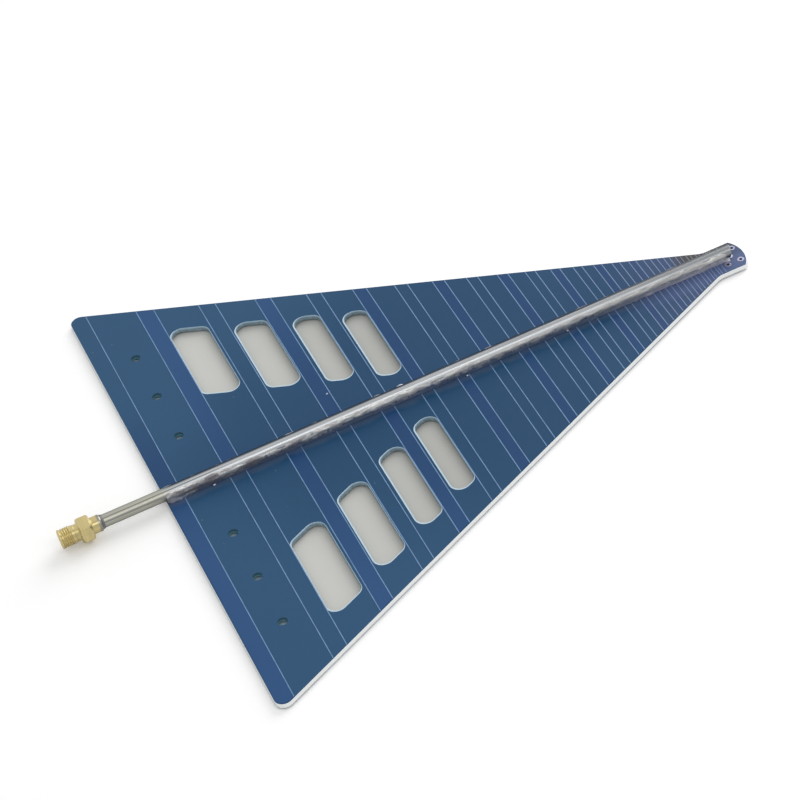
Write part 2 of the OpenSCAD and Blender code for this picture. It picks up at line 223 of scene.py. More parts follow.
class AntennaStage(bpy.types.PropertyGroup):
    """Camera and light."""

    lens: FloatProperty(
        name="Focal length", description="Focal length in millimetres on a 36 mm sensor",
        default=148.96, min=1,
    )
    eye: FloatVectorProperty(
        name="Eye", description="Place of the camera", size=3, subtype="TRANSLATION", unit="LENGTH",
        default=(-0.04758, -0.75392, 0.67694),
    )
    aim: FloatVectorProperty(
        name="Aim", description="Point in the middle of the picture", size=3, subtype="TRANSLATION",
        unit="LENGTH", default=(0.11179, -0.00037, -0.0024),
    )
    roll: FloatProperty(
        name="Roll", description="Lean of the camera to the right", default=math.radians(15.441),
        subtype="ANGLE",
    )
    sky: FloatProperty(
        name="Sky", description="Strength of the even light from all round", default=0.7, min=0
    )
    key_power: FloatProperty(
        name="Key", description="Power of the soft light behind the tip", default=13,
        min=0, unit="POWER",
    )
    fill_power: FloatProperty(
        name="Fill", description="Power of the soft light above the object", default=3.3, min=0,
        unit="POWER",
    )


def start_fresh():
    """Leaves edit mode and deselects everything."""
    if bpy.context.mode != "OBJECT":
        bpy.ops.object.mode_set(mode="OBJECT")
    bpy.ops.object.select_all(action="DESELECT")


def named(name):
    """Names the object that was just added, and its data."""
    piece = bpy.context.object
    piece.name = piece.data.name = name
    return piece


def settle():
    """Puts the active object's place, turn and size into its mesh."""
    bpy.ops.object.transform_apply(location=True, rotation=True, scale=True)


def edit_all():
    """Enters edit mode with everything selected."""
    bpy.ops.object.mode_set(mode="EDIT")
    bpy.ops.mesh.select_all(action="SELECT")


def pick(piece, wanted, kind="verts"):
    """Selects in edit mode the vertices or edges for which wanted is true."""
    bpy.ops.mesh.select_mode(type={"verts": "VERT", "edges": "EDGE"}[kind])
    mesh = bmesh.from_edit_mesh(piece.data)
    for group in (mesh.verts, mesh.edges, mesh.faces):
        for item in group:
            item.select = False
    for item in getattr(mesh, kind):
        item.select_set(wanted(item))
    mesh.select_flush_mode()
    bmesh.update_edit_mesh(piece.data)


def apply_modifier(piece, kind, **settings):
    """Adds one modifier to the active object and applies it."""
    made = piece.modifiers.new(kind.title(), kind)
    for key, value in settings.items():
        setattr(made, key, value)
    bpy.ops.object.modifier_apply(modifier=made.name)


def smooth(degrees):
    """Smooths the active object's shading across edges up to an angle."""
    bpy.ops.object.shade_smooth_by_angle(angle=math.radians(degrees))


def tidy_mesh(degrees=40):
    """Merges the active object's doubles, turns its faces outwards and smooths it up to an angle."""
    edit_all()
    bpy.ops.mesh.remove_doubles(threshold=CLOSE)
    bpy.ops.mesh.normals_make_consistent(inside=False)
    bpy.ops.object.mode_set(mode="OBJECT")
    smooth(degrees)


def round_edges(piece, width, degrees):
    """Bevels the edges that are sharper than an angle."""
    apply_modifier(piece, "BEVEL", width=width, segments=2, limit_method="ANGLE",
                   angle_limit=math.radians(degrees))


def ripple(piece, name, size, strength):
    """Moves the surface in and out by soft noise."""
    grain = bpy.data.textures.new(name, "CLOUDS")
    grain.noise_scale = size
    apply_modifier(piece, "DISPLACE", texture=grain, strength=strength, mid_level=0.5,
                   texture_coords="LOCAL")


def slice_along(piece, *counts):
    """Subdivides in edit mode the edges that run along X, once for each count of cuts."""
    for count in counts:
        pick(piece, lambda e: abs(e.verts[0].co.x - e.verts[1].co.x) > CLOSE, "edges")
        bpy.ops.mesh.subdivide(number_cuts=count)


def ring_of(name, points):
    """A closed ring of edges through the points, as a new object."""
    start_fresh()
    bpy.ops.mesh.primitive_circle_add(vertices=len(points), radius=MM)
    piece = named(name)
    for vertex, point in zip(piece.data.vertices, points):
        vertex.co = point
    return piece


def refinish(finish, *names):
    """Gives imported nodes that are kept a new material."""
    for name in names:
        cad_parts[name].material_slots[0].material = finish


def seat(piece, finish, slot, *nodes):
    """Gives a finished piece its material and its place in the frame."""
    piece.data.materials.clear()
    piece.data.materials.append(finish)
    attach(piece, "root")
    if nodes:
        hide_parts(*nodes)


# Shading nodes


def new_finish(name):
    """An empty material with its principled shader."""
    finish = bpy.data.materials.new(name)
    finish.use_nodes = True
    tree = finish.node_tree
    tree.nodes.clear()
    shader = tree.nodes.new("ShaderNodeBsdfPrincipled")
    out = tree.nodes.new("ShaderNodeOutputMaterial")
    tree.links.new(shader.outputs["BSDF"], out.inputs["Surface"])
    return finish, tree, shader


def feed(tree, socket, value):
    """Sets a socket to a constant, or links it to another node's output."""
    if isinstance(value, bpy.types.NodeSocket):
        tree.links.new(value, socket)
    elif hasattr(value, "__len__") and len(value) == 3 and socket.type == "RGBA":
        socket.default_value = (*value, 1)
    else:
        socket.default_value = value


def put(tree, kind, sockets, **settings):
    """Adds one node with its settings and sockets, and returns its first output that is in use."""
    made = tree.nodes.new(kind)
    for key, value in settings.items():
        setattr(made, key, value)
    for key, value in sockets.items():
        feed(tree, made.inputs[key], value)
    return next(o for o in made.outputs if o.enabled)


def place(tree):
    """Object coordinates in metres."""
    return tree.nodes.new("ShaderNodeTexCoord").outputs["Object"]


def parts_of(tree, vector):
    """The three numbers of a vector."""
    split = tree.nodes.new("ShaderNodeSeparateXYZ")
    tree.links.new(vector, split.inputs[0])
    return split.outputs["X"], split.outputs["Y"], split.outputs["Z"]


def math_node(tree, operation, *values):
    """One step of arithmetic."""
    return put(tree, "ShaderNodeMath", dict(enumerate(values)), operation=operation)


def times(tree, *values):
    """A product."""
    return math_node(tree, "MULTIPLY", *values)


def plus(tree, *values):
    """A sum."""
    return math_node(tree, "ADD", *values)


def minus(tree, *values):
    """A difference."""
    return math_node(tree, "SUBTRACT", *values)


def unsigned(tree, value):
    """A number without its sign."""
    return math_node(tree, "ABSOLUTE", value)


def stretched(tree, vector, scale):
    """The coordinates scaled along each axis."""
    return put(tree, "ShaderNodeMapping", {"Vector": vector, "Scale": scale})


def cloudy(tree, vector, scale, detail=3.0, rough=0.55):
    """Soft noise from 0 to 1."""
    return put(
        tree, "ShaderNodeTexNoise",
        {"Vector": vector, "Scale": scale, "Detail": detail, "Roughness": rough},
    )


def spread(tree, value, low, high, to_low=0.0, to_high=1.0):
    """Maps a range of one value to another, smoothly."""
    return put(
        tree, "ShaderNodeMapRange",
        {"Value": value, "From Min": low, "From Max": high, "To Min": to_low, "To Max": to_high},
        interpolation_type="SMOOTHSTEP",
    )


def blend(tree, amount, first, second):
    """Mixes two colours."""
    made = tree.nodes.new("ShaderNodeMix")
    made.data_type = "RGBA"
    feed(tree, made.inputs["Factor"], amount)
    for socket, value in zip([s for s in made.inputs if s.type == "RGBA"], (first, second)):
        feed(tree, socket, value)
    return next(s for s in made.outputs if s.type == "RGBA")


def shade(colour, factor):
    """A colour made darker or lighter."""
    return tuple(min(1.0, c * factor) for c in colour)


def paint(tree, shader, colour, rough):
    """Links the shader's colour and roughness."""
    tree.links.new(colour, shader.inputs["Base Color"])
    tree.links.new(rough, shader.inputs["Roughness"])


def roughen(tree, shader, height, strength, distance):
    """Bump on the shader's normal."""
    bump = put(tree, "ShaderNodeBump", {"Height": height, "Strength": strength, "Distance": distance})
    tree.links.new(bump, shader.inputs["Normal"])


# The series that the dipoles follow


def dipole_reach(k):
    """Distance of dipole k from the meeting point of the slanted edges."""
    return FIRST_REACH * SPACING_RATIO ** (k - 1) - SERIES_LEAD


def dipole_width(k):
    """Width of dipole k."""
    return LONGEST_WIDTH * WIDTH_RATIO ** (k - 1)


HOLE_X = APEX_X - (
    dipole_reach(1) - dipole_width(1) / 2 + dipole_reach(2) + dipole_width(2) / 2) / 2


# Finishes


def brown_patch_mask(tree, x, y):
    """How far the coat at the tip turns a darker brown, on the +Y side of the tube."""
    along = times(
        tree, spread(tree, x, BOARD_HIGH.x - 23 * MM, BOARD_HIGH.x - 16 * MM, 0, 0.85),
        spread(tree, x, BOARD_HIGH.x - 0.5 * MM, BOARD_HIGH.x - 2.5 * MM))
    return times(tree, along, spread(tree, y, 3 * MM, 5 * MM))


def hole_row(tree, x, outer, inner):
    """1 along the row of bolt holes, falling to 0 from an inner to an outer distance along X."""
    return spread(tree, unsigned(tree, minus(tree, x, HOLE_X)), outer, inner)


def coat_finish(name, colours, colour, sheen, edge, strip=None, shaded_hole_wall=None):
    """Satin blue coat with a painted sheen towards the sides, dulled by flux at the tip, and beside the
    tube partly dried flux and partly painted light.

    The edge colour shows on cut faces. The board also has the rear strip and the walls of its holes,
    painted dark as shade and lighter low down as painted light.
    """
    finish, tree, shader = new_finish(name)
    spot = place(tree)
    x, y, z = parts_of(tree, spot)
    broad = cloudy(tree, spot, 22, 2)
    fine = cloudy(tree, spot, 420, 3)
    aside = unsigned(tree, y)
    # Painted sheen: the coat lightens towards the sides and the rear, less in the middle of the board.
    far = plus(tree, aside, times(tree, broad, 30 * MM))
    far = plus(tree, far, spread(tree, x, 75 * MM, 33 * MM, 0, 45 * MM))
    clear = math_node(tree, "MINIMUM", spread(tree, x, 75 * MM, 125 * MM),
                      spread(tree, x, 175 * MM, 155 * MM))
    far = minus(tree, far, times(tree, clear, 30 * MM))
    body = blend(tree, spread(tree, far, 12 * MM, 100 * MM), colour, sheen)
    if strip:
        rear = times(tree, spread(tree, x, BOARD_LOW.x + 5.7 * MM, BOARD_LOW.x + 5.3 * MM),
                     spread(tree, aside, 55 * MM, 15 * MM, 0, 0.8))
        body = blend(tree, rear, body, strip)
    body = blend(tree, spread(tree, fine, 0.35, 0.75, 0, 0.12), body, sheen)
    dust = put(tree, "ShaderNodeTexVoronoi", {"Vector": spot, "Scale": 130, "Randomness": 1.0})
    body = blend(tree, spread(tree, dust, 0.04, 0.02, 0, 0.08), body, edge)
    # Partly dried flux, partly painted light: beside the tube the coat turns a lighter grey, against the
    # shade there.
    near = plus(tree, aside, times(tree, cloudy(tree, spot, 160, 2), -3 * MM))
    upper = spread(tree, z, BOARD_LOW.z, BOARD_HIGH.z)
    flux_and_light_mask = times(tree, upper, spread(tree, near, 3.8 * MM, 1.2 * MM, 0, 0.5))
    body = blend(tree, flux_and_light_mask, body, colours.flux_and_painted_light)
    dulled = spread(tree, x, BOARD_HIGH.x - 48 * MM, BOARD_HIGH.x - 12 * MM, 0, 0.6)
    body = blend(tree, dulled, body, colours.tip)
    # Painted light: the coat on the -Y side of the tube near the tip is lightened where the tube's shade
    # falls.
    beside = times(tree, spread(tree, y, -10 * MM, -5 * MM), spread(tree, y, 1 * MM, -1 * MM))
    beside = times(tree, beside, spread(tree, x, 178 * MM, 215 * MM, 0, 0.4))
    body = blend(tree, beside, body, shade(colours.tip, 1.7))
    # A darker brown patch on the +Y side of the tube near its end.
    body = blend(tree, brown_patch_mask(tree, x, y), body, colours.brown_patch)
    facing = tree.nodes.new("ShaderNodeNewGeometry").outputs["True Normal"]
    upright = unsigned(tree, parts_of(tree, facing)[2])
    plies = put(tree, "ShaderNodeTexWave", {"Vector": spot, "Scale": 1600, "Distortion": 2.0},
                bands_direction="Z")
    cut = blend(tree, plies, shade(edge, 0.92), edge)
    # Painted shade on the walls of the holes, with painted light on their lower part.
    if shaded_hole_wall:
        row = times(tree, hole_row(tree, x, 3 * MM, 2.4 * MM), spread(tree, aside, 80 * MM, 78 * MM))
        low = spread(tree, z, BOARD_HIGH.z - 0.7 * MM, BOARD_HIGH.z - 1.2 * MM)
        cut = blend(tree, row, cut, blend(tree, low, shaded_hole_wall, shade(shaded_hole_wall, 2.6)))
    paint(tree, shader, blend(tree, spread(tree, upright, 0.3, 0.6), cut, body),
          spread(tree, fine, 0.2, 0.8, 0.36, 0.48))
    weave = plus(
        tree, put(tree, "ShaderNodeTexWave", {"Vector": spot, "Scale": 330}, bands_direction="X"),
        put(tree, "ShaderNodeTexWave", {"Vector": spot, "Scale": 330}, bands_direction="Y"))
    roughen(tree, shader, plus(tree, weave, fine), 0.05, 0.05 * MM)
    shader.inputs["Specular IOR Level"].default_value = 0.25
    return finish


def line_finish(colours):
    """Printed ink, a little thin in places, greyer towards the tip and browned with the coat beside the
    tube's end.
    """
    finish, tree, shader = new_finish("printed_ink")
    spot = place(tree)
    x, y = parts_of(tree, spot)[:2]
    patchy = cloudy(tree, spot, 300, 3)
    body = blend(tree, spread(tree, patchy, 0.3, 0.65), shade(colours.line, 0.72), colours.line)
    dulled = spread(tree, x, BOARD_HIGH.x - 80 * MM, BOARD_HIGH.x - 15 * MM, 0, 0.85)
    body = blend(tree, dulled, body, colours.line_tip)
    body = blend(tree, brown_patch_mask(tree, x, y), body, shade(colours.brown_patch, 4))
    paint(tree, shader, body, spread(tree, patchy, 0.2, 0.8, 0.4, 0.6))
    return finish


def milled_finish(wall, rim):
    """Bare glass fibre with its plies, as the cutter leaves it, with painted shade low on the wall and a
    painted highlight on the rim's upward faces.
    """
    finish, tree, shader = new_finish("milled_laminate")
    spot = place(tree)
    plies = put(tree, "ShaderNodeTexWave",
                {"Vector": spot, "Scale": 1500, "Distortion": 3.0, "Detail": 2.0}, bands_direction="Z")
    fuzz = cloudy(tree, spot, 900, 3)
    body = blend(tree, plies, shade(wall, 0.85), wall)
    # Painted shade: the wall darkens towards the bottom of the slot.
    low = spread(tree, parts_of(tree, spot)[2], BOARD_HIGH.z - 0.2 * MM, BOARD_HIGH.z - 0.7 * MM, 0, 0.8)
    body = blend(tree, low, body, shade(wall, 0.45))
    # Painted highlight: upward faces, along the rim, take the lighter rim colour.
    facing = tree.nodes.new("ShaderNodeNewGeometry").outputs["Normal"]
    body = blend(tree, spread(tree, parts_of(tree, facing)[2], 0.8, 0.95), body, rim)
    body = blend(tree, spread(tree, fuzz, 0.45, 0.8, 0, 0.4), body, shade(rim, 1.1))
    paint(tree, shader, body, spread(tree, fuzz, 0.2, 0.8, 0.55, 0.8))
    roughen(tree, shader, fuzz, 0.3, 0.1 * MM)
    return finish


# Painted reflections, dark lines along the tube: angle and half width in degrees, strength, and where
# they end
TUBE_REFLECTION_LINES = ((64, 6, 0.85, 50 * MM), (27, 12, 0.6, 34 * MM))


def tube_finish(colours):
    """Tinned metal with painted reflections along it, yellower where the tube stands free and duller at
    the tip.
    """
    colour, bare = colours.tube, colours.bare
    finish, tree, shader = new_finish("tinned_tube")
    spot = place(tree)
    x, y, z = parts_of(tree, spot)
    turn = math_node(tree, "ARCTAN2", z, times(tree, y, -1.0))
    along = put(tree, "ShaderNodeCombineXYZ", {"X": times(tree, x, 9.0), "Y": times(tree, turn, 6.0)})
    streaks = cloudy(tree, along, 1, 4, 0.65)
    drops = cloudy(tree, stretched(tree, spot, (70, 300, 300)), 1, 3)
    free = spread(tree, x, BOARD_LOW.x + 4 * MM, BOARD_LOW.x - 2 * MM)
    body = blend(tree, free, colour, bare)
    # Painted reflections: the streaks darken the tube in lengthwise bands.
    dark = blend(tree, free, shade(colour, 0.66), shade(bare, 0.66))
    body = blend(tree, spread(tree, streaks, 0.35, 0.65), dark, body)
    # Painted reflection of the board on the flanks, which the tube shows at a slant.
    facing = tree.nodes.new("ShaderNodeLayerWeight").outputs["Facing"]
    side = times(tree, spread(tree, facing, 0.2, 0.45, 0, 0.85), minus(tree, 1.0, free))
    body = blend(tree, side, body, colours.tube_side_reflection)
    # Painted reflections: dark lines along the tube.
    for degrees, half, depth, end in TUBE_REFLECTION_LINES:
        away = unsigned(tree, minus(tree, turn, math.radians(degrees)))
        line = times(
            tree, spread(tree, away, math.radians(half), math.radians(half * 0.3), 0, depth),
            spread(tree, x, end + 8 * MM, end - 4 * MM))
        body = blend(tree, line, body, shade(colour, 0.25))
    body = blend(tree, spread(tree, x, 165 * MM, SEAM_HIGH.x, 0, 0.9), body, shade(colour, 0.47))
    paint(tree, shader, body, spread(tree, drops, 0.25, 0.75, 0.26, 0.4))
    shader.inputs["Metallic"].default_value = 1
    shader.inputs["Specular Tint"].default_value = (0.35, 0.4, 0.45, 1)
    roughen(tree, shader, plus(tree, streaks, drops), 0.25, 0.1 * MM)
    return finish


def solder_finish(name, colours, colour, amount):
    """Dull cooled solder with a patchy film of flux, most at the rear; its foot is painted darker and
    bluish as shade and a reflection of the board, and lighter near the tip as painted light.
    """
    finish, tree, shader = new_finish(name)
    spot = place(tree)
    x, _, z = parts_of(tree, spot)
    patches = cloudy(tree, stretched(tree, spot, (140, 420, 420)), 1, 4, 0.6)
    grains = cloudy(tree, spot, 1400, 3)
    body = blend(tree, spread(tree, grains, 0.3, 0.7), shade(colour, 0.88), shade(colour, 1.1))
    film = times(tree, spread(tree, patches, 0.36, 0.58, 0, amount),
                 spread(tree, x, 50 * MM, 110 * MM, 1.0, 0.35))
    body = blend(tree, film, body, colours.flux)
    body = blend(tree, spread(tree, x, 80 * MM, 200 * MM, 0, 0.4), body, shade(colour, 0.3))
    # Painted shade and reflection: the solder's lower part takes the foot colours, with painted light
    # near the tip.
    ragged = cloudy(tree, stretched(tree, spot, (380, 160, 160)), 1, 3, 0.7)
    height = plus(tree, z, times(tree, patches, 1.2 * MM))
    height = plus(tree, height, spread(tree, ragged, 0.25, 0.75, -1.2 * MM, 1.2 * MM))
    foot = blend(tree, spread(tree, x, 55 * MM, 90 * MM), colours.shaded_foot_rear, colours.foot)
    foot = blend(tree, spread(tree, x, 170 * MM, 215 * MM), foot, colours.lit_foot_tip)
    body = blend(tree, spread(tree, height, 0.3 * MM, -0.7 * MM, 0, 0.85), body, foot)
    paint(tree, shader, body, spread(tree, patches, 0.3, 0.7, 0.3, 0.48))
    shader.inputs["Metallic"].default_value = 0.5
    roughen(tree, shader, plus(tree, grains, patches), 0.25, 0.12 * MM)
    return finish


def metal_finish(name, colour, rough, turned, tin=None):
    """Bright metal with fine marks, round the X axis where it was turned.

    With a tin colour, as on the jack, faces seen squarely get a painted dark reflection and the +X end
    is tinned.
    """
    finish, tree, shader = new_finish(name)
    spot = place(tree)
    scale = (5200, 60, 60) if turned else (700, 700, 700)
    marks = cloudy(tree, stretched(tree, spot, scale), 1, 2)
    tarnish = cloudy(tree, spot, 380, 3)
    body = blend(tree, spread(tree, marks, 0.3, 0.7), shade(colour, 0.88), shade(colour, 1.08))
    body = blend(tree, spread(tree, tarnish, 0.5, 0.8, 0, 0.5), body, shade(colour, 0.62))
    if tin:
        # Painted reflection: faces seen squarely are darkened.
        facing = tree.nodes.new("ShaderNodeLayerWeight").outputs["Facing"]
        body = blend(tree, spread(tree, facing, 0.14, 0.03, 0, 0.5), body, shade(colour, 0.55))
        end = plus(tree, parts_of(tree, spot)[0], times(tree, tarnish, 1 * MM))
        tinned = spread(tree, end, JACK_HIGH.x - 1.1 * MM, JACK_HIGH.x - 0.2 * MM)
        body = blend(tree, tinned, body, tin)
    paint(tree, shader, body, spread(tree, tarnish, 0.3, 0.7, rough, rough + 0.15))
    shader.inputs["Metallic"].default_value = 1
    roughen(tree, shader, marks, 0.12, 0.05 * MM)
    return finish


def plastic_finish(colour):
    """White plastic, slightly mottled."""
    finish, tree, shader = new_finish("white_plastic")
    mottle = cloudy(tree, place(tree), 900, 3)
    paint(tree, shader, blend(tree, mottle, shade(colour, 0.9), colour),
          spread(tree, mottle, 0.2, 0.8, 0.4, 0.55))
    roughen(tree, shader, mottle, 0.1, 0.05 * MM)
    return finish


# Outlines shared with the board


def slot_outline(i, side, grow):
    """Points round slot i, anticlockwise, with the outline grown by a distance."""
    front = dipole_reach(i + 3) + dipole_width(i + 3) / 2 + SLOT_SETBACKS[i]
    rear = front + SLOT_WIDTHS[i]
    span = SLOT_SPAN - SLOT_TAPER * i
    corners = [
        Vector((APEX_X - reach, reach * EDGE_SLOPE - SLOT_MARGIN - inset))
        for reach, inset in ((rear, span), (front, span), (front, 0), (rear, 0))]
    points = []
    for j, corner in enumerate(corners):
        before = (corner - corners[j - 1]).normalized()
        after = (corners[(j + 1) % 4] - corner).normalized()
        first, second = Vector((before.y, -before.x)), Vector((after.y, -after.x))
        centre = corner - SLOT_RADIUS * (first + second) / (1 + first.dot(second))
        turn = math.atan2(first.cross(second), first.dot(second))
        for step in range(CORNER_STEPS + 1):
            arm = Matrix.Rotation(turn * step / CORNER_STEPS, 2) @ first
            points.append(centre + arm * (SLOT_RADIUS + grow))
    if side < 0:
        points = [Vector((p.x, -p.y)) for p in reversed(points)]
    return points


class ANTENNA_OT_board_finish(bpy.types.Operator):
    """Gives the board, its copper, its lines and its eyelets their finishes"""

    bl_idname = "antenna.board_finish"
    bl_label = "Finish the Board"

    def execute(self, context):
        colours = context.scene.antenna_colours
        laminate = coat_finish("blue_coat_on_laminate", colours, colours.coat, colours.coat_sheen,
                               colours.milled, colours.stripe, colours.shaded_hole_wall)
        refinish(laminate, "board")
        copper = coat_finish("blue_coat_on_copper", colours, colours.stripe, colours.stripe_sheen,
                             colours.stripe)
        refinish(copper, "upper_copper", "lower_copper")
        refinish(line_finish(colours), "printed_lines")
        refinish(metal_finish("tin_plating", colours.tin, 0.38, False), "eyelets")
        return {"FINISHED"}


def move_ring(piece, before, after):
    """Moves each selected point from its place in one outline to the same place in another."""
    mesh = bmesh.from_edit_mesh(piece.data)
    for vertex in mesh.verts:
        if vertex.select:
            nearest = min(range(len(before)), key=lambda n: (vertex.co.xy - before[n]).length)
            vertex.co.xy = after[nearest]
    bmesh.update_edit_mesh(piece.data)


class ANTENNA_OT_slot_edges(bpy.types.Operator):
    """Lines each slot with its milled edge and bare rim"""

    bl_idname = "antenna.slot_edges"
    bl_label = "Slot Edges"

    def execute(self, context):
        sizes = context.scene.antenna_sizes
        colours = context.scene.antenna_colours
        finish = milled_finish(colours.wall, colours.rim)
        for i in range(len(SLOT_WIDTHS)):
            for side, word in ((1, "left"), (-1, "right")):
                outlines = [slot_outline(i, side, grow)
                            for grow in (-sizes.rim_lip, -sizes.rim_lip, 0, sizes.rim_width)]
                shift = RIM_SHIFT * Vector((sizes.rim_width, sizes.rim_width))
                outlines[3] = [self.rim_point(*pair, shift) for pair in zip(outlines[2], outlines[3])]
                piece = self.edge(f"slot_edge_{i + 1}_{word}", outlines)
                seat(piece, finish, "laminate")
        return {"FINISHED"}

    def rim_point(self, wall, rim, shift):
        """A point of the rim, moved by the shift and kept a little outside the slot's wall."""
        outward = (rim - wall).normalized()
        moved = rim - shift
        return moved + outward * max(0.0, LEAST_RIM - outward.dot(moved - wall))

    def edge(self, name, outlines):
        """One slot's lining: up the wall and out on the upper face, widest at the rear and at -Y."""
        piece = ring_of(name, [(point.x, point.y, BOARD_LOW.z) for point in outlines[0]])
        edit_all()
        wall = BOARD_HIGH.z - BOARD_LOW.z + RIM_PROUD - RIM_STEP
        for before, after, rise in zip(outlines, outlines[1:], (wall, RIM_STEP, 0)):
            bpy.ops.mesh.extrude_region_move(TRANSFORM_OT_translate={"value": (0, 0, rise)})
            move_ring(piece, before, after)
        bpy.ops.object.mode_set(mode="OBJECT")
        tidy_mesh()
        if sum(face.area * face.normal.z for face in piece.data.polygons) < 0:
            piece.data.flip_normals()
        apply_modifier(piece, "SOLIDIFY", thickness=LINING, offset=-1)
        round_edges(piece, 0.04 * MM, 30)
        smooth(40)
        return piece


class ANTENNA_OT_tube(bpy.types.Operator):
    """Makes the tinned outer tube with its slanted cut"""

    bl_idname = "antenna.tube"
    bl_label = "Outer Tube"

    def execute(self, context):
        sizes = context.scene.antenna_sizes
        span = TUBE_HIGH.x - TUBE_LOW.x + 2 * TUBE_R
        start_fresh()
        bpy.ops.mesh.primitive_cylinder_add(
            vertices=64, radius=TUBE_R, depth=span, end_fill_type="NOTHING",
            location=(TUBE_LOW.x + span / 2, 0, 0), rotation=(0, math.pi / 2, 0))
        piece = named("tube_sleeve")
        settle()
        bpy.ops.object.mode_set(mode="EDIT")
        slice_along(piece, 19, 9)
        bpy.ops.mesh.select_all(action="SELECT")
        rise = math.tan(sizes.tube_cut)
        bpy.ops.mesh.bisect(
            plane_co=(TUBE_HIGH.x, 0, TUBE_R), plane_no=Vector((1, 0, -rise)).normalized(),
            clear_outer=True, use_fill=False)
        bpy.ops.object.mode_set(mode="OBJECT")
        ripple(piece, "tinning", 9 * MM, sizes.tube_ripple)
        tidy_mesh()
        apply_modifier(piece, "SOLIDIFY", thickness=sizes.tube_wall, offset=-1)
        round_edges(piece, 0.06 * MM, 40)
        smooth(40)
        seat(piece, tube_finish(context.scene.antenna_colours), "tinned_tube", "coax_tube")
        return {"FINISHED"}


# The solder's outer side, from the top down: angle in degrees and height above the tube in millimetres,
# with the number of steps from there to the board and along the inside
SEAM_SIDE = ((52, -0.2), (46, -0.1), (40, -0.03), (34, 0.01), (26, 0.05), (18, 0.09), (10, 0.12),
             (2, 0.14), (-6, 0.15), (-14, 0.15), (-22, 0.14))
SEAM_SKIRT = 7
SEAM_INSIDE = 12


def seam_profile(foot):
    """Closed outline of the solder across the tube, in Y and Z, anticlockwise seen from the jack."""
    side = []
    for degrees, height in SEAM_SIDE:
        angle, radius = math.radians(degrees), TUBE_R + height * MM
        side.append(Vector((radius * math.cos(angle), radius * math.sin(angle))))
    last = side[-1]
    base = COPPER_TOP - 0.03 * MM
    for step in range(1, SEAM_SKIRT + 1):
        part = step / SEAM_SKIRT
        side.append(Vector((last.x + (foot - last.x) * part ** 0.7, last.y + (base - last.y) * part)))
    floor = [Vector((foot * part, base)) for part in (0.6, 0.2, -0.2, -0.6)]
    inside, top = [], SEAM_SIDE[0][0]
    for step in range(1, SEAM_INSIDE):
        angle = math.radians(top - (180 + 2 * top) * step / SEAM_INSIDE)
        radius = TUBE_R - 0.25 * MM
        inside.append(Vector((-radius * math.cos(angle), radius * math.sin(angle))))
    mirrored = [Vector((-p.x, p.y)) for p in reversed(side)]
    return side + floor + mirrored + inside


def ease(part):
    """A smooth step from 0 to 1."""
    part = min(1.0, max(0.0, part))
    return part * part * (3 - 2 * part)


def waver(x, run, row, turn=0.0):
    """Smooth noise along the seam, with waves of about the given length."""
    return noise.noise(Vector((x / run, row, turn)))


class ANTENNA_OT_seam(bpy.types.Operator):
    """Makes the lumpy solder along both sides of the tube"""

    bl_idname = "antenna.seam"
    bl_label = "Solder Seam"

    def execute(self, context):
        sizes = context.scene.antenna_sizes
        profile = seam_profile(sizes.seam_foot)
        piece = ring_of("solder_bead", [(SEAM_LOW.x, point.x, point.y) for point in profile])
        edit_all()
        bpy.ops.mesh.extrude_region_move(
            TRANSFORM_OT_translate={"value": (SEAM_END - SEAM_LOW.x, 0, 0)})
        slice_along(piece, 19, 19)
        for end in (SEAM_LOW.x, SEAM_END):
            pick(piece, lambda v: abs(v.co.x - end) < CLOSE)
            bpy.ops.mesh.edge_face_add()
        mesh = bmesh.from_edit_mesh(piece.data)
        for vertex in mesh.verts:
            self.lump(vertex, sizes)
        bmesh.update_edit_mesh(piece.data)
        bpy.ops.object.mode_set(mode="OBJECT")
        tidy_mesh(60)
        colours = context.scene.antenna_colours
        finish = solder_finish("dull_solder", colours, colours.solder, 0.8)
        seat(piece, finish, "solder", "solder_seam")
        return {"FINISHED"}

    def lump(self, vertex, sizes):
        """Moves one point, so that the solder swells and thins, and spreads at the rear."""
        x, y, z = vertex.co
        radius = math.hypot(y, z)
        if radius < TUBE_R - 0.22 * MM or abs(y) < 1.1 * MM:
            return
        side = 7.0 if y > 0 else 0.0
        angle = math.atan2(z, abs(y))
        broad = waver(x, 9 * MM, side, angle * 0.8)
        small = waver(x, 2.6 * MM, side + 3, angle * 2.5)
        sway = waver(x, 5 * MM, side + 11)
        fray = waver(x, 1.3 * MM, side + 17)
        rear = 1 - ease((x - SEAM_LOW.x) / (14 * MM))
        full = min(ease((x - SEAM_LOW.x) / (2 * MM) + 0.4), ease((SEAM_END - x) / (2 * MM)))
        film = ease((z - COPPER_TOP) / (0.6 * MM))
        push = sizes.seam_lump * (0.45 * broad + 0.7 * small + 0.3 * rear) * full
        push -= (1 - full) * max(0.0, radius - TUBE_R + 0.1 * MM)
        low = 1 - ease((z - COPPER_TOP) / (1.7 * MM))
        run = ((0.4 * sway + 0.3 * fray + 1.1 * rear) * full - 0.7 * (1 - full)) * MM * low
        vertex.co.y += push * film * y / radius + math.copysign(run, y)
        vertex.co.z += push * film * z / radius


# Drops beside the seam: name, place and half sizes in millimetres
DROPS = (
    ("solder_fleck", (93.2, 15.85, -2.37), (0.4, 0.3, 0.1)),
    ("solder_drop_rear", (48.2, -2.55, -2.12), (0.55, 0.4, 0.35)),
    ("solder_drop_middle", (134.0, -2.6, -2.16), (0.4, 0.35, 0.3)),
    ("solder_drop_front", (168.9, -2.1, -2.06), (0.45, 0.4, 0.35)),
    ("solder_drop_back", (113.4, 1.75, 1.15), (1.1, 0.45, 0.4)),
)


